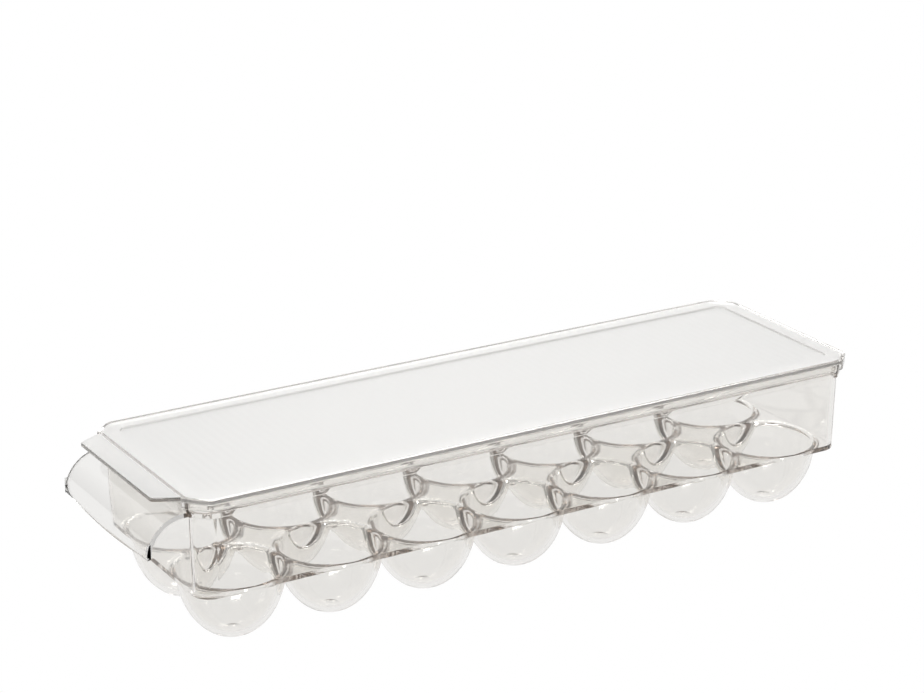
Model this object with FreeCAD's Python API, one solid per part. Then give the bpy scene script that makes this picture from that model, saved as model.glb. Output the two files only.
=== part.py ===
import FreeCAD, Part
import math
import os

V = FreeCAD.Vector

# Clear refrigerator egg tray: two rows of egg cups under a straight-walled
# rim, with a curled pull handle at one end and a loose lid with a pull tab.
# Millimetres. Origin: centre of the footprint, on the surface the cups stand on.
# +X runs away from the handle, +Y to the back, +Z up.

# --- driving dimensions -------------------------------------------------------
SHEET = 2.0                   # moulded wall thickness everywhere
CUPS_PER_ROW = 7
CUP_PITCH = 48.8              # centre to centre, along and across
CUP_OUTER_RADIUS = 24.4       # at the deck
CUP_SEMI_HEIGHT = 32.8        # of the outer half ellipsoid
FOOT_TRIM = 0.7               # what the flat foot takes off the ellipsoid's tip
CUP_FLOOR = 1.5               # thickness over the flat foot

LID_HALF_LENGTH = 177.6
LID_HALF_WIDTH = 54.0
LID_OFFSET = 13.5             # of its outline from the core rectangle
LID_SKIRT_SHEET = 1.8
LID_SKIRT_HEIGHT = 5.0
LID_CLEARANCE = 0.4           # between the lid's skirt and the tray's rim

DECK_CORNER_RADIUS = 8.7      # corner of the walls' foot, seen from above
WALL_DRAFT = 0.7              # how far the walls lean out, from deck to rim
STEP_HEIGHT = 36.3            # deck to the underside of the rim's step
RIM_TOP_HEIGHT = 43.65        # deck to the top of the rim, where the lid rests

HANDLE_RADIUS = 17.7          # outside of the curl
HANDLE_HALF_WIDTH = 43.8
HANDLE_END_HEIGHT = 20.4      # deck to the curl's lower edge, beside its corners
HANDLE_EDGE_DROP = 1.9        # how much lower that edge is in the middle
HANDLE_CORNER_RADIUS = 7.0
HANDLE_FLAT = 1.3             # level stretch between the rim and the curl

TAB_REACH = 11.1              # past the lid's end, level with its top
TAB_HALF_WIDTH = 37.0         # at its free edge
TAB_ROOT_HALF_WIDTH = 43.0    # where it meets the lid's end

# The corners of lid and rim are cut at 45 degrees, and the corners that leaves are eased.
# Both lengths are shares of the outline's offset from the core rectangle.
CORNER_CUT_SHARE = 0.67
CORNER_EASE_SHARE = 0.13
EASE_HALF_TURN = math.radians(22.5)

# --- derived heights and outlines ---------------------------------------------
DECK_TOP = CUP_SEMI_HEIGHT - FOOT_TRIM
RIM_TOP = DECK_TOP + RIM_TOP_HEIGHT
STEP_UNDERSIDE = DECK_TOP + STEP_HEIGHT
STEP_TOP = STEP_UNDERSIDE + SHEET
LID_TOP = RIM_TOP + SHEET
SKIRT_BOTTOM = LID_TOP - LID_SKIRT_HEIGHT

# Every outline of walls, rim and lid is an offset of this same inner rectangle.
CORE_HALF_LENGTH = LID_HALF_LENGTH - LID_OFFSET
CORE_HALF_WIDTH = LID_HALF_WIDTH - LID_OFFSET

SKIRT_INNER_OFFSET = LID_OFFSET - LID_SKIRT_SHEET
RIM_OUTER_OFFSET = SKIRT_INNER_OFFSET - LID_CLEARANCE
RIM_INNER_OFFSET = RIM_OUTER_OFFSET - SHEET
WALL_TOP_RADIUS = DECK_CORNER_RADIUS + WALL_DRAFT

# The handle reaches further than the lid's tab, so the cups' centre is off the origin.
RIM_END = CORE_HALF_LENGTH + RIM_OUTER_OFFSET
HANDLE_REACH = RIM_END + HANDLE_FLAT + HANDLE_RADIUS
CENTRE_X = (HANDLE_REACH - LID_HALF_LENGTH) / 2

FAR = 400.0                   # larger than the object, for cutting blocks
OVERCUT = 1.0                 # how far a cutting solid runs past what it cuts


def rounded_wire(half_length, half_width, radius, z):
    """Closed rounded rectangle about the cups' centre, at height z."""
    x = half_length - radius
    y = half_width - radius
    corners = [(x, y, 0), (-x, y, 90), (-x, -y, 180), (x, -y, 270)]
    arcs = []
    for corner_x, corner_y, start in corners:
        arc = []
        for angle in (start, start + 45, start + 90):
            turn = math.radians(angle)
            point_x = CENTRE_X + corner_x + radius * math.cos(turn)
            arc.append(V(point_x, corner_y + radius * math.sin(turn), z))
        arcs.append(arc)
    edges = []
    for index, arc in enumerate(arcs):
        following = arcs[(index + 1) % len(arcs)]
        edges.append(Part.Arc(arc[0], arc[1], arc[2]).toShape())
        edges.append(Part.LineSegment(arc[2], following[0]).toShape())
    return Part.Wire(edges)


def round_outline(radius, z):
    """Offset of the core rectangle by radius, which is also its corner radius."""
    return rounded_wire(CORE_HALF_LENGTH + radius, CORE_HALF_WIDTH + radius, radius, z)


def eased_wire(corners, ease):
    """Closed octagon whose corners are arcs that start and end an ease from each corner."""
    arcs = []
    for index, corner in enumerate(corners):
        last = corners[index - 1]
        following = corners[(index + 1) % len(corners)]
        start = corner + (last - corner).normalize() * ease
        end = corner + (following - corner).normalize() * ease
        inward = start + end - corner * 2
        middle = corner + inward / (2 * (1 + math.cos(EASE_HALF_TURN)))
        arcs.append((start, middle, end))
    edges = []
    for index, (start, middle, end) in enumerate(arcs):
        next_start = arcs[(index + 1) % len(arcs)][0]
        edges.append(Part.Arc(start, middle, end).toShape())
        edges.append(Part.LineSegment(end, next_start).toShape())
    return Part.Wire(edges)


def cut_outline(offset, z):
    """Offset of the core rectangle with its corners cut off and eased."""
    x = CORE_HALF_LENGTH + offset
    y = CORE_HALF_WIDTH + offset
    cut = CORNER_CUT_SHARE * offset
    corners = []
    for side_x, side_y in ((1, 1), (-1, 1), (-1, -1), (1, -1)):
        on_end = V(CENTRE_X + side_x * x, side_y * (y - cut), z)
        on_side = V(CENTRE_X + side_x * (x - cut), side_y * y, z)
        corners.extend([on_end, on_side] if side_x == side_y else [on_side, on_end])
    return eased_wire(corners, CORNER_EASE_SHARE * offset)


def plate(wire, height):
    return Part.Face(wire).extrude(V(0, 0, height))


def cutter(outline, offset, low, high):
    """Solid that cuts all inside an outline away, between two heights."""
    return plate(outline(offset, low - OVERCUT), high - low + 2 * OVERCUT)


def ring(outer_offset, inner_offset, low, high):
    """Upright ring between two cut outlines."""
    outer = plate(cut_outline(outer_offset, low), high - low)
    return outer.cut(cutter(cut_outline, inner_offset, low, high))


def block(x_low, x_high, y_low, y_high, z_low=-FAR, z_high=FAR):
    """Box given by its limits, with x counted from the cups' centre."""
    size = (x_high - x_low, y_high - y_low, z_high - z_low)
    return Part.makeBox(size[0], size[1], size[2], V(CENTRE_X + x_low, y_low, z_low))


# --- tray ---------------------------------------------------------------------
def half_ellipsoid(radius, semi_height, x, y):
    """Lower half of an upright ellipsoid, taller than wide, with its rim on the deck's top."""
    rim = V(x + radius, y, DECK_TOP)
    tip = V(x, y, DECK_TOP - semi_height)
    centre = V(x, y, DECK_TOP)
    ellipse = Part.Ellipse(tip, rim, centre)
    curve = Part.ArcOfEllipse(ellipse, 0, math.pi / 2).toShape()
    axis = Part.LineSegment(centre, tip).toShape()
    top = Part.LineSegment(rim, centre).toShape()
    profile = Part.Face(Part.Wire(Part.__sortEdges__([axis, curve, top])))
    return profile.revolve(centre, V(0, 0, 1), 360)


def cup_cell(column, row):
    """One egg cup with the square of deck around its mouth."""
    along = (column - (CUPS_PER_ROW - 1) / 2) * CUP_PITCH
    across = (row - 0.5) * CUP_PITCH
    half = CUP_PITCH / 2
    x = CENTRE_X + along
    left = -FAR if column == 0 else along - half
    right = FAR if column == CUPS_PER_ROW - 1 else along + half
    back = FAR if row == 1 else 0
    front = 0 if row == 1 else -FAR
    deck = plate(round_outline(DECK_CORNER_RADIUS, DECK_TOP - SHEET), SHEET)
    cell = deck.common(block(left, right, front, back))
    bowl = half_ellipsoid(CUP_OUTER_RADIUS, CUP_SEMI_HEIGHT, x, across)
    hollow_depth = CUP_SEMI_HEIGHT - FOOT_TRIM - CUP_FLOOR
    hollow = half_ellipsoid(CUP_OUTER_RADIUS - SHEET, hollow_depth, x, across)
    cup = cell.fuse(bowl).cut(hollow)
    cup = cup.cut(block(-FAR, FAR, -FAR, FAR, -FAR, 0))
    return cup.removeSplitter()


def drafted_walls():
    """The four side walls in one piece, leaning out from the deck to the step."""
    height = STEP_UNDERSIDE
    lower_outer = round_outline(DECK_CORNER_RADIUS, DECK_TOP)
    upper_outer = round_outline(WALL_TOP_RADIUS, height)
    lower_inner = round_outline(DECK_CORNER_RADIUS - SHEET, DECK_TOP)
    upper_inner = round_outline(WALL_TOP_RADIUS - SHEET, height)
    outer = Part.makeLoft([lower_outer, upper_outer], True, True)
    inner = Part.makeLoft([lower_inner, upper_inner], True, True)
    return outer.cut(inner)


def stepped_rim():
    """Step out from the walls' top, and the upright rim that the lid covers."""
    wall_inside = WALL_TOP_RADIUS - SHEET
    step = plate(cut_outline(RIM_OUTER_OFFSET, STEP_UNDERSIDE), SHEET)
    step = step.cut(cutter(round_outline, wall_inside, STEP_UNDERSIDE, STEP_TOP))
    upright = ring(RIM_OUTER_OFFSET, RIM_INNER_OFFSET, STEP_TOP, RIM_TOP)
    return step.fuse(upright).removeSplitter()


def four_sides(whole):
    """A closed ring as its two straight long sides and its two ends with the corners."""
    x = CORE_HALF_LENGTH
    return {
        "front": whole.common(block(-x, x, -FAR, 0)),
        "back": whole.common(block(-x, x, 0, FAR)),
        "handle_end": whole.common(block(-FAR, -x, -FAR, FAR)),
        "far_end": whole.common(block(x, FAR, -FAR, FAR)),
    }


def handle_section():
    """Closed profile of the curl, in the plane y = -HANDLE_HALF_WIDTH."""
    y = -HANDLE_HALF_WIDTH
    root_x = CENTRE_X - RIM_END + SHEET
    curl_x = CENTRE_X - RIM_END - HANDLE_FLAT
    curl_z = STEP_TOP - HANDLE_RADIUS
    inner_radius = HANDLE_RADIUS - SHEET
    end_z = DECK_TOP + HANDLE_END_HEIGHT - HANDLE_EDGE_DROP
    diagonal = math.sqrt(0.5)

    def curl_point(radius, share_x, share_z):
        return V(curl_x - radius * share_x, y, curl_z + radius * share_z)

    outer_top = curl_point(HANDLE_RADIUS, 0, 1)
    outer_middle = curl_point(HANDLE_RADIUS, diagonal, diagonal)
    outer_side = curl_point(HANDLE_RADIUS, 1, 0)
    inner_top = curl_point(inner_radius, 0, 1)
    inner_middle = curl_point(inner_radius, diagonal, diagonal)
    inner_side = curl_point(inner_radius, 1, 0)
    outer_end = V(outer_side.x, y, end_z)
    inner_end = V(inner_side.x, y, end_z)
    root_top = V(root_x, y, STEP_TOP)
    root_under = V(root_x, y, STEP_UNDERSIDE)
    edges = [
        Part.LineSegment(root_top, outer_top).toShape(),
        Part.Arc(outer_top, outer_middle, outer_side).toShape(),
        Part.LineSegment(outer_side, outer_end).toShape(),
        Part.LineSegment(outer_end, inner_end).toShape(),
        Part.LineSegment(inner_end, inner_side).toShape(),
        Part.Arc(inner_side, inner_middle, inner_top).toShape(),
        Part.LineSegment(inner_top, root_under).toShape(),
        Part.LineSegment(root_under, root_top).toShape(),
    ]
    return Part.Face(Part.Wire(edges))


def handle_front_outline():
    """Solid that trims the curl's free edge: bowed below, with rounded corners."""
    x = CENTRE_X - HANDLE_REACH - OVERCUT
    length = HANDLE_REACH - CORE_HALF_LENGTH
    w = HANDLE_HALF_WIDTH
    r = HANDLE_CORNER_RADIUS
    side_z = DECK_TOP + HANDLE_END_HEIGHT
    low_z = side_z - HANDLE_EDGE_DROP
    top_z = LID_TOP
    chord = r * (1 - math.sqrt(0.5))

    def point(y, z):
        return V(x, y, z)

    edges = [
        Part.LineSegment(point(-w, top_z), point(-w, side_z + r)).toShape(),
        Part.Arc(point(-w, side_z + r), point(-w + chord, side_z + chord),
                 point(-w + r, side_z)).toShape(),
        Part.Arc(point(-w + r, side_z), point(0, low_z), point(w - r, side_z)).toShape(),
        Part.Arc(point(w - r, side_z), point(w - chord, side_z + chord),
                 point(w, side_z + r)).toShape(),
        Part.LineSegment(point(w, side_z + r), point(w, top_z)).toShape(),
        Part.LineSegment(point(w, top_z), point(-w, top_z)).toShape(),
    ]
    return Part.Face(Part.Wire(edges)).extrude(V(length, 0, 0))


def pull_handle():
    sheet = handle_section().extrude(V(0, 2 * HANDLE_HALF_WIDTH, 0))
    sheet = sheet.common(handle_front_outline())
    return sheet.cut(cutter(cut_outline, RIM_OUTER_OFFSET, STEP_UNDERSIDE, STEP_TOP))


# --- lid ----------------------------------------------------------------------
def lid_panel():
    """Flat top of the lid, whose underside rests on the tray's rim."""
    return plate(cut_outline(LID_OFFSET, RIM_TOP), SHEET)


def lid_skirt():
    """Upright edge under the panel, which goes down outside the tray's rim."""
    return ring(LID_OFFSET, SKIRT_INNER_OFFSET, SKIRT_BOTTOM, RIM_TOP)


def lid_pull_tab():
    """The panel's flat tab past the lid's end, narrower at its free edge."""
    root_x = CENTRE_X - LID_HALF_LENGTH
    tip_x = root_x - TAB_REACH
    corners = [
        V(root_x, -TAB_ROOT_HALF_WIDTH, RIM_TOP),
        V(tip_x, -TAB_HALF_WIDTH, RIM_TOP),
        V(tip_x, TAB_HALF_WIDTH, RIM_TOP),
        V(root_x, TAB_ROOT_HALF_WIDTH, RIM_TOP),
    ]
    return plate(Part.makePolygon(corners + [corners[0]]), SHEET)


# --- all pieces ---------------------------------------------------------------
def all_nodes():
    nodes = {}
    for row, side in enumerate(("front", "back")):
        for column in range(CUPS_PER_ROW):
            nodes[f"egg_cup_{side}_{column + 1}"] = cup_cell(column, row)
    for side, shape in four_sides(drafted_walls()).items():
        nodes[f"{side}_wall"] = shape
    for side, shape in four_sides(stepped_rim()).items():
        nodes[f"{side}_rim"] = shape
    nodes["pull_handle"] = pull_handle()
    nodes["lid_panel"] = lid_panel()
    nodes["lid_skirt"] = lid_skirt()
    nodes["lid_pull_tab"] = lid_pull_tab()
    return nodes


os.makedirs("parts", exist_ok=True)
for name, shape in all_nodes().items():
    solids = shape.Solids
    if len(solids) != 1 or not shape.isValid():
        raise ValueError(f"{name}: {len(solids)} solids, valid {shape.isValid()}")
    solids[0].exportStep(f"parts/{name}.step")
    box = shape.BoundBox
    print(f"{name:16s} {shape.Volume:10.1f} mm3  x {box.XMin:7.2f} {box.XMax:7.2f}"
          f"  y {box.YMin:7.2f} {box.YMax:7.2f}  z {box.ZMin:6.2f} {box.ZMax:6.2f}")
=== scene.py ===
import math

import bmesh
import bpy
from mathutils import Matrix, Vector


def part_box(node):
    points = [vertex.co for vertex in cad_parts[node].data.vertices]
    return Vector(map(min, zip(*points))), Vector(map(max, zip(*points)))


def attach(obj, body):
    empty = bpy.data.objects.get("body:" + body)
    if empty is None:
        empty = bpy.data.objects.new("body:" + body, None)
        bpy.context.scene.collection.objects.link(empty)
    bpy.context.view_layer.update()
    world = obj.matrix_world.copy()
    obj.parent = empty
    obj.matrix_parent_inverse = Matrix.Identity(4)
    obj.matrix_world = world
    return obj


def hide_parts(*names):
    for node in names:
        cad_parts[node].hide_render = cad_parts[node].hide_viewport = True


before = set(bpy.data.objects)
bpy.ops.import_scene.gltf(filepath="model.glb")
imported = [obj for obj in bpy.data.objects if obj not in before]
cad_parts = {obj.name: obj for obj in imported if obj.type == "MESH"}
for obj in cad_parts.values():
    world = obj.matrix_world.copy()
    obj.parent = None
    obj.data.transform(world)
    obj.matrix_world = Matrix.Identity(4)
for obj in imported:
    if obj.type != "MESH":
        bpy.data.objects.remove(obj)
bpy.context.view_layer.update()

MM = 0.001
QUARTER = math.pi / 2
EIGHTH = math.pi / 4

# --- sizes read from the frame ---------------------------------------------------
skirt_low, skirt_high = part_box("lid_skirt")
panel_low, panel_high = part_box("lid_panel")
tab_low, tab_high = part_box("lid_pull_tab")
wall_low, wall_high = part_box("front_wall")
far_wall_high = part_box("far_end_wall")[1]
rim_low, rim_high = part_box("front_rim")
far_rim_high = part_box("far_end_rim")[1]
handle_low, handle_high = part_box("pull_handle")
second_cup_low, second_cup_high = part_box("egg_cup_front_2")
CUPS_PER_ROW = sum(name.startswith("egg_cup_front_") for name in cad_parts)

CENTRE_X = (skirt_low.x + skirt_high.x) / 2
CUP_PITCH = second_cup_high.x - second_cup_low.x
SHEET = panel_high.z - panel_low.z
DECK_TOP = wall_low.z
DECK_UNDER = DECK_TOP - SHEET
STEP_UNDER = rim_low.z
STEP_TOP = STEP_UNDER + SHEET
LID_GAP = 0.15 * MM           # keeps the two clear surfaces apart where the lid rests
RIM_TOP = rim_high.z - LID_GAP
LID_TOP = panel_high.z
LID_UNDER = panel_low.z
SKIRT_BOTTOM = skirt_low.z

# Walls, rim and lid are offsets of one core rectangle. The walls' corners are round, with
# the offset as their radius; those of rim and lid are cut at 45 degrees.
CORE_X = (wall_high.x - wall_low.x) / 2
LID_OFFSET = (skirt_high.x - skirt_low.x) / 2 - CORE_X
CORE_Y = skirt_high.y - LID_OFFSET
SKIRT_WALL = 1.8 * MM
SKIRT_INNER_OFFSET = LID_OFFSET - SKIRT_WALL
RIM_OFFSET = far_rim_high.x - CENTRE_X - CORE_X
RIM_INNER_OFFSET = RIM_OFFSET - SHEET
WALL_TOP_OFFSET = far_wall_high.x - CENTRE_X - CORE_X
DECK_OFFSET = second_cup_high.y - second_cup_low.y - CORE_Y
DECK_INNER_OFFSET = DECK_OFFSET - SHEET
WALL_TOP_INNER_OFFSET = WALL_TOP_OFFSET - SHEET

# Cups: half ellipsoids centred on the deck's top.
CUP_OUTER = CUP_PITCH / 2
CUP_INNER = CUP_OUTER - SHEET
FOOT_TRIM = 0.7 * MM
FOOT_FLOOR = 1.5 * MM
CUP_OUTER_DEPTH = DECK_TOP + FOOT_TRIM
CUP_INNER_DEPTH = DECK_TOP - FOOT_FLOOR

# Cut corners, as shares of an outline's offset.
CUT_SHARE = 0.67
EASE_SHARE = 0.13
EASE_RADIUS_SHARE = EASE_SHARE / math.tan(EIGHTH / 2)
EASE_FROM = math.atan2(1 - CUT_SHARE - EASE_SHARE, 1)
EASE_TO = math.atan2(1 - CUT_SHARE + EASE_SHARE * math.sqrt(0.5), 1 - EASE_SHARE * math.sqrt(0.5))

# Small roundings that the moulding has.
MOUTH_ROUNDING = 1.6 * MM
WEB_FILLET = 2.0 * MM
FOOT_EDGE = 0.35 * MM
SOFT_EDGE = 0.7 * MM
STEP_EDGE = 0.8 * SOFT_EDGE

# --- meshes ----------------------------------------------------------------------------
WELD = 0.002 * MM             # points nearer than this are one
NO_RUN = 1e-12                # keeps a division safe where two points coincide
SHARP_ANGLE = math.radians(38)
SHEET_EDGE_ANGLE = math.radians(60)   # a sheet's own edges turn more than this


def weld(bm):
    """Joins coinciding points and turns every face outwards."""
    bmesh.ops.remove_doubles(bm, verts=bm.verts, dist=WELD)
    bmesh.ops.recalc_face_normals(bm, faces=bm.faces)


def mesh_object(name, bm):
    """Object of a closed bmesh, which is used up."""
    weld(bm)
    mesh = bpy.data.meshes.new(name)
    bm.to_mesh(mesh)
    bm.free()
    obj = bpy.data.objects.new(name, mesh)
    bpy.context.scene.collection.objects.link(obj)
    return obj


def shade_smooth(obj):
    """Smooth shading, except across sharp edges."""
    mesh = obj.data
    mesh.polygons.foreach_set("use_smooth", [True] * len(mesh.polygons))
    mesh.set_sharp_from_angle(angle=SHARP_ANGLE)


def join_solid(base, addition):
    """Boolean union of two closed solids, kept as base."""
    union = base.modifiers.new("union", "BOOLEAN")
    union.operation = "UNION"
    union.solver = "EXACT"
    union.object = addition
    depsgraph = bpy.context.evaluated_depsgraph_get()
    mesh = bpy.data.meshes.new_from_object(base.evaluated_get(depsgraph))
    base.modifiers.clear()
    base.data = mesh
    bpy.data.objects.remove(addition)


# --- profiles in a vertical plane ---------------------------------------------------
def arc(centre, radius, start, end, steps):
    """Points of a circular arc, in (across, up) coordinates, both ends included."""
    points = []
    for step in range(steps + 1):
        angle = start + (end - start) * step / steps
        points.append((centre[0] + radius * math.cos(angle), centre[1] + radius * math.sin(angle)))
    return points


def resample(points, count):
    """count points evenly spaced along a polyline, its first point left out."""
    lengths = [0.0]
    for before, after in zip(points, points[1:]):
        lengths.append(lengths[-1] + math.dist(before, after))
    result = []
    segment = 0
    for step in range(1, count + 1):
        target = lengths[-1] * step / count
        while segment < len(points) - 2 and lengths[segment + 1] < target:
            segment += 1
        span = lengths[segment + 1] - lengths[segment]
        share = (target - lengths[segment]) / span if span > 0 else 1.0
        share = min(max(share, 0.0), 1.0)
        a, b = points[segment], points[segment + 1]
        result.append((a[0] + (b[0] - a[0]) * share, a[1] + (b[1] - a[1]) * share))
    return result


def cut_at(points, reach):
    """The part of an outward-running profile up to the distance reach."""
    kept = [points[0]]
    for before, after in zip(points, points[1:]):
        if after[0] >= reach:
            share = (reach - before[0]) / max(after[0] - before[0], NO_RUN)
            kept.append((reach, before[1] + (after[1] - before[1]) * share))
            return kept
        kept.append(after)
    if kept[-1][0] < reach:
        kept.append((reach, kept[-1][1]))
    return kept


def ellipse_point(radius, depth, turn):
    """Point of a cup's profile; turn is 0 at its bottom and a quarter turn at the deck."""
    return (radius * math.sin(turn), DECK_TOP - depth * math.cos(turn))


def contact_turn(radius, depth, across, down, offset):
    """Turn of the ellipse's point that a circle of radius offset, centred there, touches."""
    normal_across = across / (radius + offset) ** 2
    normal_down = down / (depth + offset) ** 2
    return math.atan2(radius * normal_across, depth * normal_down)


def bent_arc(start, centre, radius, end_angle, steps):
    """Arc that leaves from start itself and ends on the circle at end_angle."""
    start_angle = math.atan2(start[1] - centre[1], start[0] - centre[0])
    points = arc(centre, radius, start_angle, end_angle, steps)
    error = (start[0] - points[0][0], start[1] - points[0][1])
    result = []
    for index, point in enumerate(points):
        fade = 1 - index / steps
        result.append((point[0] + error[0] * fade, point[1] + error[1] * fade))
    return result


BOWL_RINGS = 22
EDGE_RINGS = 9
ARC_STEPS = 8
FOOT_RINGS = (0.55, 0.94)     # on the flat foot, as shares of its radius
FOOT_EDGE_RING = 0.012        # just above the foot, as a share of the bowl's turn
LEAST_FILLET = 0.04 * MM


def across_at(radius, depth, fillet, down):
    """Distance from the cup's axis of a circle's centre that touches the bowl, down deep."""
    return (radius + fillet) * math.sqrt(1 - (down / (depth + fillet)) ** 2)


def outer_fillet(reach, shared):
    """Centre and radius of the rounding between a bowl's outside and the cell's edge.

    Where the edge is shared with the next cup, the two bowls run together in a rounded web.
    """
    radius, depth, fillet = CUP_OUTER, CUP_OUTER_DEPTH, WEB_FILLET
    inside_root = 1 - (reach / (radius + fillet)) ** 2
    web_down = (depth + fillet) * math.sqrt(max(inside_root, 0))
    down = SHEET + fillet
    if shared and web_down > down:
        return reach, web_down, fillet
    across = across_at(radius, depth, fillet, down)
    if across > reach:
        corner = across_at(radius, depth, 0, SHEET)
        fillet = max((reach - corner) / (across - corner) * fillet, LEAST_FILLET)
        down = SHEET + fillet
        across = across_at(radius, depth, fillet, down)
    return across, down, fillet


def outer_profile(reach, shared):
    """Underside of a cell, from under the cup's axis out to the cell's edge."""
    radius, depth = CUP_OUTER, CUP_OUTER_DEPTH
    across, down, fillet = outer_fillet(reach, shared)
    turn = contact_turn(radius, depth, across, down, fillet)
    start = ellipse_point(radius, depth, turn)
    edge = bent_arc(start, (across, DECK_TOP - down), fillet, QUARTER, ARC_STEPS)
    edge = cut_at(edge, reach)
    foot_turn = math.acos(DECK_TOP / depth)
    foot_radius = radius * math.sin(foot_turn)
    points = [(foot_radius * share, 0.0) for share in FOOT_RINGS]
    shares = [0.0, FOOT_EDGE_RING] + [step / BOWL_RINGS for step in range(1, BOWL_RINGS + 1)]
    for share in shares:
        points.append(ellipse_point(radius, depth, foot_turn + (turn - foot_turn) * share))
    return points + resample(edge, EDGE_RINGS)


def inner_profile(reach):
    """Upper face of a cell, from the cup's axis out to the cell's edge."""
    radius, depth = CUP_INNER, CUP_INNER_DEPTH
    rounding = MOUTH_ROUNDING
    across = across_at(radius, depth, rounding, rounding)
    turn = contact_turn(radius, depth, across, rounding, rounding)
    start = ellipse_point(radius, depth, turn)
    edge = bent_arc(start, (across, DECK_TOP - rounding), rounding, QUARTER, ARC_STEPS)
    edge = cut_at(edge, reach)
    points = []
    for step in range(1, BOWL_RINGS + 1):
        points.append(ellipse_point(radius, depth, turn * step / BOWL_RINGS))
    return points + resample(edge, EDGE_RINGS)


# --- cell outlines, seen from above ---------------------------------------------------
HALF_SIDE_STEPS = 10          # along half of a cell's side
CORNER_STRAIGHT_STEPS = 5     # either side of the tray's own corner
EASE_STEPS = 4
ON_EDGE = 1e-6 * MM           # points nearer to an edge than this lie on it


def corner_angles():
    """Directions round a corner of the tray, closer together where a cut corner is eased."""
    first_half = [0.0, EASE_FROM / 2]
    for step in range(EASE_STEPS + 1):
        first_half.append(EASE_FROM + (EASE_TO - EASE_FROM) * step / EASE_STEPS)
    first_half.append((EASE_TO + EIGHTH) / 2)
    return first_half + [EIGHTH] + [QUARTER - angle for angle in reversed(first_half)]


def square_quadrant(half_x, half_y):
    """Edge of a square cell from (half_x, 0) to (0, half_y), evenly spread in angle."""
    steps = HALF_SIDE_STEPS
    points = []
    for step in range(steps):
        points.append((half_x, half_y * math.tan(EIGHTH * step / steps)))
    for step in range(steps, 0, -1):
        points.append((half_x * math.tan(EIGHTH * step / steps), half_y))
    return points


def rounded_quadrant(half_x, half_y, radius):
    """The same for a cell at the tray's corner, with that corner's rounding."""
    straight = CORNER_STRAIGHT_STEPS
    points = []
    for step in range(straight):
        points.append((half_x, (half_y - radius) * step / straight))
    for angle in corner_angles()[:-1]:
        points.append((half_x - radius + radius * math.cos(angle),
                       half_y - radius + radius * math.sin(angle)))
    for step in range(straight):
        points.append(((half_x - radius) * (1 - step / straight), half_y))
    return points


def cell_edge(column, row, offset):
    """Points round a cell's edge, anticlockwise from +X, about the cup's axis.

    offset is that of the outline which bounds the tray at this face. Each point comes
    with True where it lies on that outline, and False where the next cell shares it.
    """
    half = CUP_PITCH / 2
    end_reach = CORE_X + offset - (CUPS_PER_ROW - 1) * half
    side_reach = CORE_Y + offset - half
    edge = []
    for sign_x, sign_y in ((1, 1), (-1, 1), (-1, -1), (1, -1)):
        ends_x = column == (CUPS_PER_ROW - 1 if sign_x > 0 else 0)
        ends_y = row == (1 if sign_y > 0 else 0)
        half_x = end_reach if ends_x else half
        half_y = side_reach if ends_y else half
        at_corner = ends_x and ends_y
        if at_corner:
            points = rounded_quadrant(half_x, half_y, offset)
        else:
            points = square_quadrant(half_x, half_y)
        points.append((0.0, half_y))
        if sign_x * sign_y < 0:
            points.reverse()
        for x, y in points[:-1]:
            outside_x = ends_x and x >= half_x - ON_EDGE
            outside_y = ends_y and y >= half_y - ON_EDGE
            edge.append((sign_x * x, sign_y * y, at_corner or outside_x or outside_y))
    return edge


def round_share(away):
    """Reach of a round corner in the direction away, as a share of its offset."""
    return 1.0


def cut_share(away):
    """Reach of a cut corner in the direction away, as a share of its offset."""
    across, along = sorted((abs(away.x), abs(away.y)))
    turn = math.atan2(across, along)
    if turn <= EASE_FROM:
        return 1 / along
    if turn >= EASE_TO:
        return (2 - CUT_SHARE) / (across + along)
    centre = Vector((1 - EASE_RADIUS_SHARE, 1 - CUT_SHARE - EASE_SHARE))
    ahead = centre.dot(Vector((along, across)))
    return ahead + math.sqrt(ahead ** 2 - centre.length_squared + EASE_RADIUS_SHARE ** 2)


def core_and_away(x, y):
    """The core rectangle's nearest point, and the way from it to the point x, y."""
    core = Vector((max(-CORE_X, min(CORE_X, x)), max(-CORE_Y, min(CORE_Y, y))))
    return core, Vector((x, y)) - core


def on_offset(x, y, offset, share=cut_share):
    """The point of the outline at another offset that faces the point x, y."""
    core, away = core_and_away(x, y)
    away.normalize()
    return core + away * offset * share(away)


def wall_profile():
    """Walls, step and rim from the deck's lower edge up, over and down to the deck's top.

    Each point is (offset, height, share), share being its outline's kind of corner.
    """
    r, s = SOFT_EDGE, STEP_EDGE
    wall = arc((DECK_OFFSET - FOOT_EDGE, DECK_UNDER + FOOT_EDGE), FOOT_EDGE, -QUARTER, 0, 3)
    wall += [(DECK_OFFSET, DECK_TOP)]
    wall += arc((WALL_TOP_OFFSET + s, STEP_UNDER - s), s, math.pi, QUARTER, 4)
    rim = arc((RIM_OFFSET - s, STEP_UNDER + s), s, -QUARTER, 0, 4)
    rim += arc((RIM_OFFSET - r, RIM_TOP - r), r, 0, QUARTER, 4)
    rim += arc((RIM_INNER_OFFSET + r, RIM_TOP - r), r, QUARTER, math.pi, 4)
    rim += arc((RIM_INNER_OFFSET - s, STEP_TOP + s), s, 0, -QUARTER, 4)
    inside = arc((WALL_TOP_INNER_OFFSET + s, STEP_TOP - s), s, QUARTER, math.pi, 4)
    points = []
    for part, share in ((wall, round_share), (rim, cut_share), (inside, round_share)):
        points += [(offset, height, share) for offset, height in part]
    return points


def build_tray():
    """Cups, deck, walls and rim as one closed sheet."""
    bm = bmesh.new()
    walls = wall_profile()
    for column in range(CUPS_PER_ROW):
        for row in (0, 1):
            add_cell(bm, column, row, walls)
    return mesh_object("tray_shell", bm)


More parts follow.
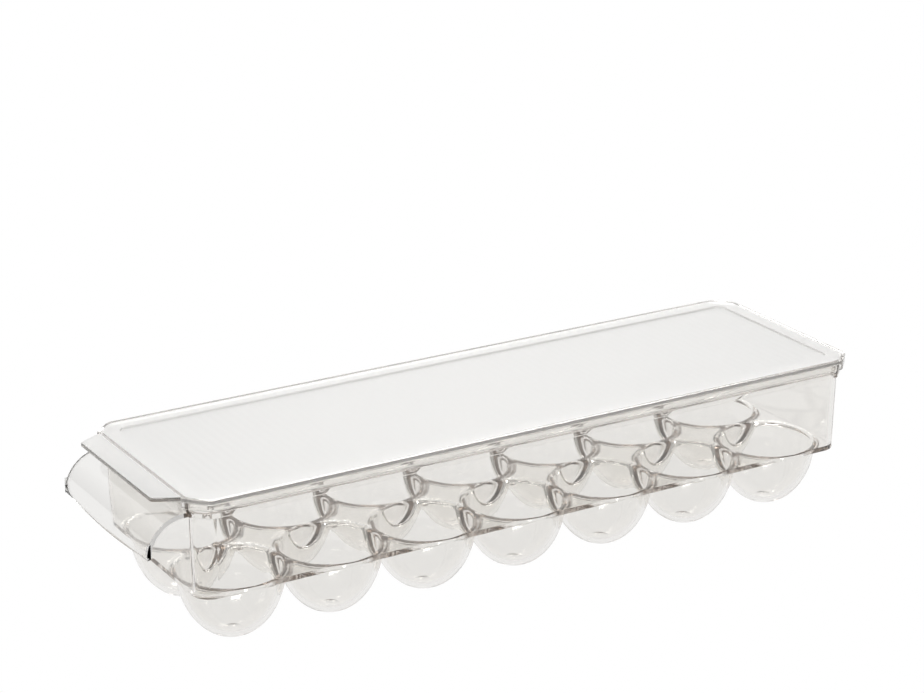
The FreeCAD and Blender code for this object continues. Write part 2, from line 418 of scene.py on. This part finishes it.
def add_cell(bm, column, row, walls):
    """One cup with its square of deck, and the wall on those of its sides that have one."""
    axis = Vector(((column - (CUPS_PER_ROW - 1) / 2) * CUP_PITCH, (row - 0.5) * CUP_PITCH))
    under_columns = []
    upper_columns = []
    wall_columns = []
    under_edge = cell_edge(column, row, DECK_OFFSET - FOOT_EDGE)
    upper_edge = cell_edge(column, row, DECK_INNER_OFFSET)
    for (under_x, under_y, outside), (upper_x, upper_y, _) in zip(under_edge, upper_edge):
        under, upper = Vector((under_x, under_y)), Vector((upper_x, upper_y))
        under_points = outer_profile(under.length, not outside)
        upper_points = inner_profile(upper.length)
        under_columns.append(raised(bm, axis, under, under_points))
        upper_columns.append(raised(bm, axis, upper, upper_points))
        wall = wall_column(bm, axis + under, axis + upper, walls) if outside else []
        wall_columns.append([under_columns[-1][-1]] + wall + [upper_columns[-1][-1]])
    foot = bm.verts.new((CENTRE_X + axis.x, axis.y, 0.0))
    floor = bm.verts.new((CENTRE_X + axis.x, axis.y, DECK_TOP - CUP_INNER_DEPTH))
    for index in range(len(under_edge)):
        before = index - 1
        bm.faces.new((foot, under_columns[index][0], under_columns[before][0]))
        bm.faces.new((floor, upper_columns[before][0], upper_columns[index][0]))
        strip(bm, under_columns[before], under_columns[index])
        strip(bm, upper_columns[index], upper_columns[before])
        if under_edge[before][2] and under_edge[index][2]:
            strip(bm, wall_columns[before], wall_columns[index])


def raised(bm, axis, edge, points):
    """Vertices of a profile, in the vertical plane from a cup's axis towards its edge."""
    away = edge.normalized()
    column = []
    for distance, height in points:
        place = axis + away * distance
        column.append(bm.verts.new((CENTRE_X + place.x, place.y, height)))
    return column


def wall_column(bm, under, upper, walls):
    """Vertices up the wall's outside, which faces under, and down its inside, facing upper."""
    column = []
    for index, (offset, height, share) in enumerate(walls):
        source = under if index < len(walls) // 2 else upper
        place = on_offset(source.x, source.y, offset, share)
        column.append(bm.verts.new((CENTRE_X + place.x, place.y, height)))
    return column


def strip(bm, one, other):
    """Faces between two columns of vertices."""
    for a, b, c, d in zip(one, other, other[1:], one[1:]):
        bm.faces.new((a, b, c, d))


# --- pull handle ---------------------------------------------------------------------
HANDLE_HALF_Y = handle_high.y
HANDLE_SIDE_Z = DECK_TOP + 20.4 * MM
HANDLE_MIDDLE_Z = handle_low.z
HANDLE_CORNER = 7.0 * MM
HANDLE_CURL = 17.7 * MM
HANDLE_TOP = STEP_TOP
HANDLE_OVERLAP = 1.1 * MM     # how far its root reaches into the rim's step
HANDLE_ROOT_X = CENTRE_X - CORE_X - RIM_OFFSET + HANDLE_OVERLAP
HANDLE_INSET = 0.04 * MM      # keeps the faceted curl inside its own box
HANDLE_CURL_X = handle_low.x + HANDLE_CURL + HANDLE_INSET
HANDLE_EDGE = 0.35 * MM       # rounding of its free edges
CURL_CENTRE_Z = HANDLE_TOP - HANDLE_CURL
HANDLE_RUN_STEPS = 3          # along each straight part of the handle
HANDLE_CURL_STEPS = 20
HANDLE_CORNER_STEPS = 10
HANDLE_FLAT_STEPS = 16


def handle_path(end_height):
    """Middle of the handle's sheet, from inside the rim out, over and down to end_height."""
    radius = HANDLE_CURL - SHEET / 2
    root_run = HANDLE_CURL_X - HANDLE_ROOT_X
    end_run = end_height - CURL_CENTRE_Z
    points = []
    for step in range(HANDLE_RUN_STEPS):
        share = step / HANDLE_RUN_STEPS
        points.append((HANDLE_ROOT_X + root_run * share, HANDLE_TOP - SHEET / 2))
    points += arc((HANDLE_CURL_X, CURL_CENTRE_Z), radius, QUARTER, math.pi, HANDLE_CURL_STEPS)
    low_x = points[-1][0]
    for step in range(1, HANDLE_RUN_STEPS + 1):
        share = step / HANDLE_RUN_STEPS
        points.append((low_x, CURL_CENTRE_Z + end_run * share))
    return points


def handle_columns():
    """(y, height of the free edge) across the handle, close together round its corners."""
    bow = HANDLE_SIDE_Z - HANDLE_MIDDLE_Z
    flat = HANDLE_HALF_Y - HANDLE_CORNER
    corner = []
    for step in range(HANDLE_CORNER_STEPS):
        angle = QUARTER * step / HANDLE_CORNER_STEPS
        y = flat + HANDLE_CORNER * math.cos(angle)
        corner.append((y, HANDLE_SIDE_Z + HANDLE_CORNER * (1 - math.sin(angle))))
    middle = []
    for step in range(HANDLE_FLAT_STEPS + 1):
        share = 1 - 2 * step / HANDLE_FLAT_STEPS
        middle.append((flat * share, HANDLE_SIDE_Z - bow * (1 - share * share)))
    mirrored = [(-y, z) for y, z in reversed(corner)]
    return corner + middle + mirrored


def offset_path(points, distance):
    """A path in the x-z plane moved to its side by distance."""
    moved = []
    for index, (x, z) in enumerate(points):
        before = points[max(index - 1, 0)]
        after = points[min(index + 1, len(points) - 1)]
        along = Vector((after[0] - before[0], after[1] - before[1])).normalized()
        moved.append((x - along.y * distance, z + along.x * distance))
    return moved


def build_handle():
    """Curled sheet with rounded free edges, its root inside the rim's step."""
    bm = bmesh.new()
    front, back = [], []
    for y, end_height in handle_columns():
        middle = handle_path(end_height)
        front.append([bm.verts.new((x, y, z)) for x, z in offset_path(middle, -SHEET / 2)])
        back.append([bm.verts.new((x, y, z)) for x, z in offset_path(middle, SHEET / 2)])
    for one, other in zip(front, front[1:]):
        strip(bm, one, other)
    for one, other in zip(back, back[1:]):
        strip(bm, other, one)
    for outer, inner in ((front[0], back[0]), (back[-1], front[-1])):
        strip(bm, inner, outer)
    for index in range(len(front) - 1):
        bm.faces.new((front[index][0], front[index + 1][0], back[index + 1][0], back[index][0]))
        bm.faces.new((front[index + 1][-1], front[index][-1], back[index][-1], back[index + 1][-1]))
    weld(bm)
    rims = [edge for edge in bm.edges if edge.calc_face_angle(0) > SHEET_EDGE_ANGLE]
    bmesh.ops.bevel(bm, geom=rims, offset=HANDLE_EDGE, segments=3, affect="EDGES", profile=0.5,
                    clamp_overlap=True)
    return mesh_object("handle_blank", bm)


# --- lid -------------------------------------------------------------------------------
RIB_PITCH = 4.5 * MM
RIB_HEIGHT = 0.06 * MM
RIB_STEPS = 8
RIB_FADE = 2.0 * MM
BORDER = 10.0 * MM            # width of the panel's plain border, round its ribbed field
FIELD_DROP = 0.8 * MM         # how far the field's top lies below the border
FIELD_STEP = 0.25 * MM        # how far the field's underside is set up into the panel
FIELD_WALL = 0.2 * MM         # run of the small slope between field and border
FIELD_OFFSET = LID_OFFSET - BORDER
FIELD_TOP = LID_TOP - FIELD_DROP
FIELD_UNDER = LID_UNDER + FIELD_STEP
TOP_EDGE = 0.6 * MM           # rounding of the panel's outer edge
CLEAR_EDGE = 1.6 * MM         # flat and clear, between that rounding and the frosting
FROST_OFFSET = LID_OFFSET - TOP_EDGE - CLEAR_EDGE
SKIRT_EDGE = 0.7 * MM         # rounding of the skirt's lower edge
INNER_CORNER = 0.4 * MM       # rounding between skirt and panel, inside
TAB_ROOT_X = CENTRE_X - CORE_X - LID_OFFSET
TAB_OVERLAP = 1.2 * MM        # how far the tab reaches into the panel
TAB_INSET = 0.02 * MM         # keeps the tab's faces off the planes of the panel's
TAB_ROOT_Y = tab_high.y
TAB_TIP_Y = TAB_ROOT_Y - 6.0 * MM
TAB_TIP_BEVEL = 1.0 * MM
TAB_EDGE = 0.55 * MM


def lid_columns():
    """(x, half width of the textured field, rib height) along the lid, about its centre."""
    ribs = round(2 * CORE_X / RIB_PITCH)
    steps = ribs * RIB_STEPS
    columns = []
    for step in range(steps + 1):
        lift = 0.5 - 0.5 * math.cos(2 * math.pi * step / RIB_STEPS)
        columns.append((CORE_X * (2 * step / steps - 1), CORE_Y + FIELD_OFFSET, RIB_HEIGHT * lift))
    for angle in reversed(corner_angles()[:-1]):
        if angle < EASE_FROM:
            break
        away = Vector((math.cos(angle), math.sin(angle)))
        reach = FIELD_OFFSET * cut_share(away)
        x, half_y = CORE_X + away.x * reach, CORE_Y + away.y * reach
        columns.append((x, half_y, 0.0))
        columns.insert(0, (-x, half_y, 0.0))
    return columns


def lid_profile():
    """(offset, height) from the field's edge over the border, round the skirt and back below."""
    skirt_edge_z = SKIRT_BOTTOM + SKIRT_EDGE
    step_edge = FIELD_STEP / 2
    points = [(FIELD_OFFSET + FIELD_WALL, LID_TOP), (FROST_OFFSET, LID_TOP)]
    points += arc((LID_OFFSET - TOP_EDGE, LID_TOP - TOP_EDGE), TOP_EDGE, QUARTER, 0, 4)
    points += arc((LID_OFFSET - SKIRT_EDGE, skirt_edge_z), SKIRT_EDGE, 0, -QUARTER, 4)
    points += arc((SKIRT_INNER_OFFSET + SKIRT_EDGE, skirt_edge_z), SKIRT_EDGE, -QUARTER, -math.pi, 4)
    inside = (SKIRT_INNER_OFFSET - INNER_CORNER, LID_UNDER - INNER_CORNER)
    points += arc(inside, INNER_CORNER, 0, QUARTER, 3)
    points += [(FIELD_OFFSET + 4 * step_edge, LID_UNDER)]
    step_centre = (FIELD_OFFSET + 2 * step_edge, LID_UNDER + step_edge)
    points += arc(step_centre, step_edge, -QUARTER, -math.pi, 2)
    points += [(FIELD_OFFSET + step_edge / 2, FIELD_UNDER)]
    return points


def field_rows(bm, level, height_sign):
    """Vertices across the field at each step along it, ribbed away from its level."""
    field = []
    for x, half_y, lift in lid_columns():
        rows = (-half_y, -half_y + RIB_FADE, half_y - RIB_FADE, half_y)
        rib = level + height_sign * lift
        heights = (level, rib, rib, level)
        field.append([bm.verts.new((CENTRE_X + x, y, z)) for y, z in zip(rows, heights)])
    return field


def field_edge(field):
    """The field's outer vertices, once round."""
    edge = [column[-1] for column in reversed(field)]
    edge += reversed(field[0][:-1])
    edge += [column[0] for column in field[1:]]
    edge += field[-1][1:-1]
    return edge


def build_lid():
    """Panel and skirt as one closed sheet, with fine ribs on both faces of the panel."""
    bm = bmesh.new()
    upper = field_rows(bm, FIELD_TOP, -1)
    under = field_rows(bm, FIELD_UNDER, 1)
    for field in (upper, under):
        for one, other in zip(field, field[1:]):
            strip(bm, one, other)
    upper_edge = field_edge(upper)
    rings = [upper_edge]
    for offset, height in lid_profile():
        ring = []
        for vert in upper_edge:
            x, y = on_offset(vert.co.x - CENTRE_X, vert.co.y, offset)
            ring.append(bm.verts.new((CENTRE_X + x, y, height)))
        rings.append(ring)
    rings.append(field_edge(under))
    count = len(upper_edge)
    for one, other in zip(rings, rings[1:]):
        for index in range(count):
            following = (index + 1) % count
            bm.faces.new((one[index], other[index], other[following], one[following]))
    return mesh_object("lid_shell", bm)


def build_tab():
    """Flat pull tab, level with the panel and narrower at its free edge, with rounded edges."""
    bm = bmesh.new()
    inside_x = TAB_ROOT_X + TAB_OVERLAP
    half_outline = [(inside_x, TAB_ROOT_Y), (TAB_ROOT_X, TAB_ROOT_Y), (tab_low.x, TAB_TIP_Y)]
    outline = half_outline + [(x, -y) for x, y in reversed(half_outline)]
    upper = [bm.verts.new((x, y, LID_TOP - TAB_INSET)) for x, y in outline]
    lower = [bm.verts.new((x, y, LID_UNDER + TAB_INSET)) for x, y in outline]
    bm.faces.new(upper)
    bm.faces.new(list(reversed(lower)))
    for index in range(len(outline)):
        following = (index + 1) % len(outline)
        bm.faces.new((upper[following], upper[index], lower[index], lower[following]))
    weld(bm)
    tips = [edge for edge in bm.edges if is_tab_tip(edge)]
    bmesh.ops.bevel(bm, geom=tips, offset=TAB_TIP_BEVEL, segments=5, affect="EDGES", profile=0.5)
    rims = [edge for edge in bm.edges if is_tab_rim(edge)]
    bmesh.ops.bevel(bm, geom=rims, offset=TAB_EDGE, segments=3, affect="EDGES", profile=0.5)
    return mesh_object("tab_blank", bm)


def is_tab_tip(edge):
    """Whether this is an upright edge at the tab's free end."""
    a, b = edge.verts
    upright = abs(a.co.z - b.co.z) > SHEET / 2
    return upright and a.co.x < TAB_ROOT_X - TAB_INSET


def is_tab_rim(edge):
    """Whether this is a level edge round the tab, other than those inside the panel."""
    a, b = edge.verts
    level = abs(a.co.z - b.co.z) < TAB_INSET
    free = min(a.co.x, b.co.x) < TAB_ROOT_X + TAB_OVERLAP - TAB_INSET
    return level and free and edge.calc_face_angle(0) > SHEET_EDGE_ANGLE


# --- materials -------------------------------------------------------------------------
PLASTIC_IOR = 1.57
FROST = "frost"               # mesh attribute: 1 on frosted faces, 0 on clear ones
FROSTED_TRANSMISSION = 0.38
ABSORPTION_DENSITY = 66.0
ABSORPTION_COLOUR = (0.85, 0.82, 0.795, 1)
CLEAR_TINTS = ((0.975, 0.97, 0.957), (0.955, 0.95, 0.934))
FROSTED_TINTS = ((0.985, 0.98, 0.965), (0.97, 0.965, 0.95))
CLEAR_ROUGHNESS = (0.015, 0.05)
FROSTED_ROUGHNESS = (0.46, 0.58)
WAVE_STRENGTH, WAVE_HEIGHT = 0.07, 0.6 * MM
NOISE_LOW, NOISE_HIGH = 0.3, 0.7   # where most of a noise's values lie
# Noise scales, in features per metre.
WAVE_SCALE = 45.0
CLEAR_TINT_SCALE = 14.0
FROSTED_TINT_SCALE = 9.0
HAZE_SCALE = 60.0
GRAIN_SCALE = 1500.0


class Nodes:
    """A material's node tree, with short calls to add and link its nodes."""

    def __init__(self, name):
        self.material = bpy.data.materials.new(name)
        self.material.use_nodes = True
        self.tree = self.material.node_tree
        self.tree.nodes.clear()
        self.output = self.add("ShaderNodeOutputMaterial")
        self.shader = self.add("ShaderNodeBsdfPrincipled")
        self.link(self.shader, "BSDF", self.output, "Surface")
        self.place = self.add("ShaderNodeTexCoord")

    def add(self, kind, **values):
        node = self.tree.nodes.new(kind)
        for name, value in values.items():
            node.inputs[name.replace("_", " ")].default_value = value
        return node

    def link(self, source, output, target, target_input):
        output_socket = next(s for s in source.outputs if s.name == output and s.enabled)
        input_socket = next(s for s in target.inputs if s.name == target_input and s.enabled)
        self.tree.links.new(output_socket, input_socket)

    def noise(self, scale, detail=2.0):
        """Noise that is fixed to the object."""
        node = self.add("ShaderNodeTexNoise", Scale=scale, Detail=detail)
        self.link(self.place, "Object", node, "Vector")
        return node

    def spread(self, source, low, high):
        """Maps a noise's factor to the range low to high."""
        node = self.add("ShaderNodeMapRange", From_Min=NOISE_LOW, From_Max=NOISE_HIGH,
                        To_Min=low, To_Max=high)
        self.link(source, "Fac", node, "Value")
        return node

    def tints(self, source, one, other):
        """Mixes two colours by a factor."""
        node = self.tree.nodes.new("ShaderNodeMix")
        node.data_type = "RGBA"
        for name, colour in (("A", one), ("B", other)):
            socket = next(s for s in node.inputs if s.name == name and s.enabled)
            socket.default_value = (*colour, 1)
        self.link(source, "Fac", node, "Factor")
        return node

    def choose(self, source, one, other, data_type):
        """Mixes the results of two nodes by a factor."""
        node = self.tree.nodes.new("ShaderNodeMix")
        node.data_type = data_type
        self.link(one, "Result", node, "A")
        self.link(other, "Result", node, "B")
        self.link(source, "Fac", node, "Factor")
        return node

    def bump(self, source, strength, distance):
        """Lifts the surface by a noise's factor."""
        node = self.add("ShaderNodeBump", Strength=strength, Distance=distance)
        self.link(source, "Fac", node, "Height")
        self.link(node, "Normal", self.shader, "Normal")


def clear_plastic(name):
    """Injection-moulded clear plastic: faint flow waves, a trace of haze, greyer where thick.

    It is finely frosted where the mesh's frost attribute says so.
    """
    nodes = Nodes(name)
    nodes.shader.inputs["IOR"].default_value = PLASTIC_IOR
    nodes.bump(nodes.noise(WAVE_SCALE, detail=1.0), WAVE_STRENGTH, WAVE_HEIGHT)
    absorption = nodes.add("ShaderNodeVolumeAbsorption", Density=ABSORPTION_DENSITY)
    absorption.inputs["Color"].default_value = ABSORPTION_COLOUR
    nodes.link(absorption, "Volume", nodes.output, "Volume")
    frost = nodes.tree.nodes.new("ShaderNodeAttribute")
    frost.attribute_name = FROST
    clear_tint = nodes.tints(nodes.noise(CLEAR_TINT_SCALE), *CLEAR_TINTS)
    frosted_tint = nodes.tints(nodes.noise(FROSTED_TINT_SCALE), *FROSTED_TINTS)
    tint = nodes.choose(frost, clear_tint, frosted_tint, "RGBA")
    nodes.link(tint, "Result", nodes.shader, "Base Color")
    haze = nodes.spread(nodes.noise(HAZE_SCALE, detail=3.0), *CLEAR_ROUGHNESS)
    grain = nodes.spread(nodes.noise(GRAIN_SCALE, detail=1.0), *FROSTED_ROUGHNESS)
    roughness = nodes.choose(frost, haze, grain, "FLOAT")
    nodes.link(roughness, "Result", nodes.shader, "Roughness")
    clearness = nodes.add("ShaderNodeMapRange", To_Min=1.0, To_Max=FROSTED_TRANSMISSION)
    nodes.link(frost, "Fac", clearness, "Value")
    nodes.link(clearness, "Result", nodes.shader, "Transmission Weight")
    return nodes.material


# --- studio ----------------------------------------------------------------------------
FLOOR_SIZE = 12.0
FLOOR_DROP = 0.2 * MM
FLOOR_GLOW = 0.91             # as the object sees it; the camera sees plain white
BACKDROP_DIRECTION = (0.486, 0.808, 0.335)
BACKDROP_FADE = ((0.35, 0.28), (0.72, 1.0))   # (closeness to that direction, brightness)
BLACK = (0, 0, 0, 1)
WHITE = (1, 1, 1, 1)
CAMERA_AZIMUTH, CAMERA_ELEVATION = math.radians(-31.05), math.radians(19.58)
CAMERA_DISTANCE = 1.2201
CAMERA_RIGHT, CAMERA_UP = -0.01146, 0.06348
CAMERA_LENS = 100.41
LIGHT_BOUNCES = 64            # light runs a long way inside the clear edges


def floor_white():
    """Evenly glowing white that takes no shadows."""
    material = bpy.data.materials.new("studio_white")
    material.use_nodes = True
    tree = material.node_tree
    shader = tree.nodes["Principled BSDF"]
    shader.inputs["Base Color"].default_value = BLACK
    shader.inputs["Roughness"].default_value = 1.0
    shader.inputs["Specular IOR Level"].default_value = 0.0
    shader.inputs["Emission Color"].default_value = WHITE
    seen = tree.nodes.new("ShaderNodeLightPath")
    glow = tree.nodes.new("ShaderNodeMapRange")
    glow.inputs["To Min"].default_value = FLOOR_GLOW
    glow.inputs["To Max"].default_value = 1.0
    tree.links.new(seen.outputs["Is Camera Ray"], glow.inputs["Value"])
    tree.links.new(glow.outputs["Result"], shader.inputs["Emission Strength"])
    return material


def build_floor():
    """Plain white floor, just below the tray."""
    bm = bmesh.new()
    bmesh.ops.create_grid(bm, x_segments=8, y_segments=8, size=FLOOR_SIZE / 2)
    mesh = bpy.data.meshes.new("studio_floor")
    bm.to_mesh(mesh)
    bm.free()
    mesh.materials.append(floor_white())
    floor = bpy.data.objects.new("studio_floor", mesh)
    bpy.context.scene.collection.objects.link(floor)
    floor.location = (CENTRE_X, 0, -FLOOR_DROP)


def build_world():
    """Soft studio light: a broad white backdrop behind the tray, and grey elsewhere."""
    world = bpy.data.worlds.new("studio")
    bpy.context.scene.world = world
    world.use_nodes = True
    tree = world.node_tree
    background = tree.nodes["Background"]
    place = tree.nodes.new("ShaderNodeTexCoord")
    toward = tree.nodes.new("ShaderNodeVectorMath")
    toward.operation = "DOT_PRODUCT"
    toward.inputs[1].default_value = BACKDROP_DIRECTION
    ramp = tree.nodes.new("ShaderNodeValToRGB")
    tree.links.new(place.outputs["Generated"], toward.inputs[0])
    tree.links.new(toward.outputs["Value"], ramp.inputs["Fac"])
    tree.links.new(ramp.outputs["Color"], background.inputs["Color"])
    for element, (position, value) in zip(ramp.color_ramp.elements, BACKDROP_FADE):
        element.position = position
        element.color = (value, value, value, 1)


def soft_box(name, location, size, power):
    """Area light aimed at the tray; the camera doesn't see it."""
    data = bpy.data.lights.new(name, "AREA")
    data.shape = "RECTANGLE"
    data.size, data.size_y = size
    data.energy = power
    light = bpy.data.objects.new(name, data)
    light.location = location
    light.rotation_mode = "QUATERNION"
    light.rotation_quaternion = (-Vector(location)).to_track_quat("-Z", "Y")
    light.visible_camera = False
    bpy.context.scene.collection.objects.link(light)


def build_camera():
    """Camera at the viewing angle, aimed so that the tray sits low in the frame."""
    back = Vector((math.sin(CAMERA_AZIMUTH) * math.cos(CAMERA_ELEVATION),
                   -math.cos(CAMERA_AZIMUTH) * math.cos(CAMERA_ELEVATION),
                   math.sin(CAMERA_ELEVATION)))
    right = Vector((math.cos(CAMERA_AZIMUTH), math.sin(CAMERA_AZIMUTH), 0))
    up = back.cross(right)
    data = bpy.data.cameras.new("camera")
    data.sensor_width = 36.0
    data.lens = CAMERA_LENS
    data.clip_start, data.clip_end = 0.05, 50.0
    camera = bpy.data.objects.new("camera", data)
    middle = Vector((CENTRE_X, 0, DECK_TOP))
    camera.location = middle + back * CAMERA_DISTANCE + right * CAMERA_RIGHT + up * CAMERA_UP
    camera.rotation_mode = "QUATERNION"
    camera.rotation_quaternion = (-back).to_track_quat("-Z", "Y")
    bpy.context.scene.collection.objects.link(camera)
    bpy.context.scene.camera = camera


def light_paths():
    """Plain colours, and light paths long enough for clear plastic."""
    scene = bpy.context.scene
    scene.view_settings.view_transform = "Standard"
    scene.cycles.use_denoising = True
    scene.cycles.max_bounces = LIGHT_BOUNCES
    scene.cycles.transmission_bounces = LIGHT_BOUNCES
    scene.cycles.glossy_bounces = LIGHT_BOUNCES
    scene.cycles.caustics_refractive = True
    scene.cycles.caustics_reflective = True


# --- the object ------------------------------------------------------------------------
SIDE_FACING = 0.9             # how far a face turns to the side: 0 not at all, 1 fully
CORNER_FACING = 0.1


def mark_frosted(piece, is_frosted):
    """Marks the faces of a piece that are finely frosted."""
    values = [float(is_frosted(face.center, face.normal)) for face in piece.data.polygons]
    attribute = piece.data.attributes.new(FROST, "FLOAT", "FACE")
    attribute.data.foreach_set("value", values)


def on_handle_edge(centre, normal):
    """Whether a face is on a narrow side of the pull handle or on its corner's rounding."""
    if centre.x > HANDLE_ROOT_X - SHEET or abs(centre.y) < HANDLE_HALF_Y - HANDLE_CORNER:
        return False
    sideways = abs(normal.y)
    return sideways > SIDE_FACING or (sideways > CORNER_FACING and centre.z < CURL_CENTRE_Z)


def on_panel(centre, normal):
    """Whether a face is on top of the lid or its tab, or under the ribbed field."""
    _, away = core_and_away(centre.x - CENTRE_X, centre.y)
    reach = 1.0 if away.length == 0 else cut_share(away.normalized())
    on_top = centre.z > FIELD_TOP - 2 * RIB_HEIGHT and away.length < FROST_OFFSET * reach
    on_tab = centre.z > LID_TOP - 5 * TAB_INSET and centre.x < tab_high.x - TOP_EDGE
    in_field = centre.z > LID_UNDER + FIELD_STEP / 2 and away.length < FIELD_OFFSET * reach
    return on_top or on_tab or in_field


tray = build_tray()
join_solid(tray, build_handle())
lid = build_lid()
join_solid(lid, build_tab())
for shell in (tray, lid):
    shade_smooth(shell)

mark_frosted(tray, on_handle_edge)
mark_frosted(lid, on_panel)
tray.data.materials.append(clear_plastic("clear_tray"))
lid.data.materials.append(clear_plastic("clear_lid"))

lid_nodes = [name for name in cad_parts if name.startswith("lid_")]
tray_nodes = [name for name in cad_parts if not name.startswith("lid_")]
for piece, body, slot, nodes in (
    (tray, "tray", "clear_tray_plastic", tray_nodes),
    (lid, "lid", "clear_lid_plastic", lid_nodes),
):
    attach(piece, body)
    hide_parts(*nodes)

build_floor()
build_world()
soft_box("key", location=(-0.9, -0.9, 1.3), size=(0.7, 0.7), power=14.2)
soft_box("back", location=(0.8, 1.2, 1.1), size=(0.8, 0.5), power=8.6)
build_camera()
light_paths()
